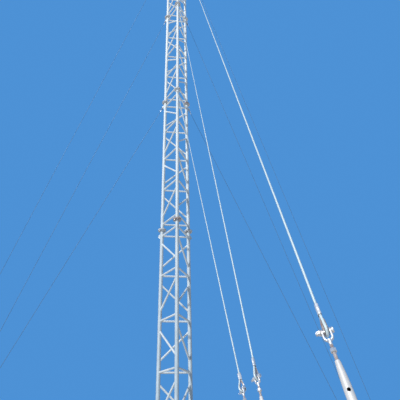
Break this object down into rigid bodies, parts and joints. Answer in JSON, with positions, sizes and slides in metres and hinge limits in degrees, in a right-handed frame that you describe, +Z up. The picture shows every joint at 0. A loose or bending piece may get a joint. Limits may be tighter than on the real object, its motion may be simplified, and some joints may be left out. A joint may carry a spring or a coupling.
{
  "type": "guyed lattice radio mast",
  "caption": "Guyed three-sided lattice mast of flanged galvanised steel tube sections, with wire stays, turnbuckles, anchor rods and ground anchors.",
  "frame": {"origin": "centre of the base plate's underside, on the mast's axis at ground level", "axes": "+Z up the mast; the front leg and the front guys stand towards -Y; +X to the right of it"},
  "size_m": [12.5626, 10.8796, 19.402],
  "materials": {
    "anchor_plate": "hot-dip galvanised plate",
    "forged_fitting": "galvanised forging",
    "lattice_bar": "hot-dip galvanised, weathered",
    "leg_tube": "hot-dip galvanised, weathered",
    "lightning_rod": "galvanised round bar",
    "mast_plate": "hot-dip galvanised plate",
    "turnbuckle_pipe": "galvanised pipe, smooth",
    "wire_rope": "galvanised wire rope"
  },
  "bodies": {
    "root": {"base_face_back": "lattice_bar", "base_face_left": "lattice_bar", "base_face_right": "lattice_bar", "base_legs": "leg_tube", "base_plate": "mast_plate", "front_anchor_rods": "forged_fitting", "front_anchors": "anchor_plate", "front_turnbuckle_bodies": "turnbuckle_pipe", "front_wire_2": "wire_rope", "front_wire_3": "wire_rope", "front_wire_4": "wire_rope", "left_anchor_rods": "forged_fitting", "left_anchors": "anchor_plate", "left_turnbuckle_bodies": "turnbuckle_pipe", "left_wire_2": "wire_rope", "left_wire_3": "wire_rope", "left_wire_4": "wire_rope", "lightning_rod": "lightning_rod", "right_anchor_rods": "forged_fitting", "right_anchors": "anchor_plate", "right_turnbuckle_bodies": "turnbuckle_pipe", "right_wire_2": "wire_rope", "right_wire_3": "wire_rope", "right_wire_4": "wire_rope", "section_1_face_back": "lattice_bar", "section_1_face_left": "lattice_bar", "section_1_face_right": "lattice_bar", "section_1_legs": "leg_tube", "section_2_face_back": "lattice_bar", "section_2_face_left": "lattice_bar", "section_2_face_right": "lattice_bar", "section_2_legs": "leg_tube", "section_3_face_back": "lattice_bar", "section_3_face_left": "lattice_bar", "section_3_face_right": "lattice_bar", "section_3_legs": "leg_tube", "section_4_face_back": "lattice_bar", "section_4_face_left": "lattice_bar", "section_4_face_right": "lattice_bar", "section_4_legs": "leg_tube", "thimbles": "forged_fitting", "top_plate": "mast_plate", "turnbuckle_jaws": "forged_fitting", "upper_shackles": "forged_fitting"}
  },
  "joints": []
}
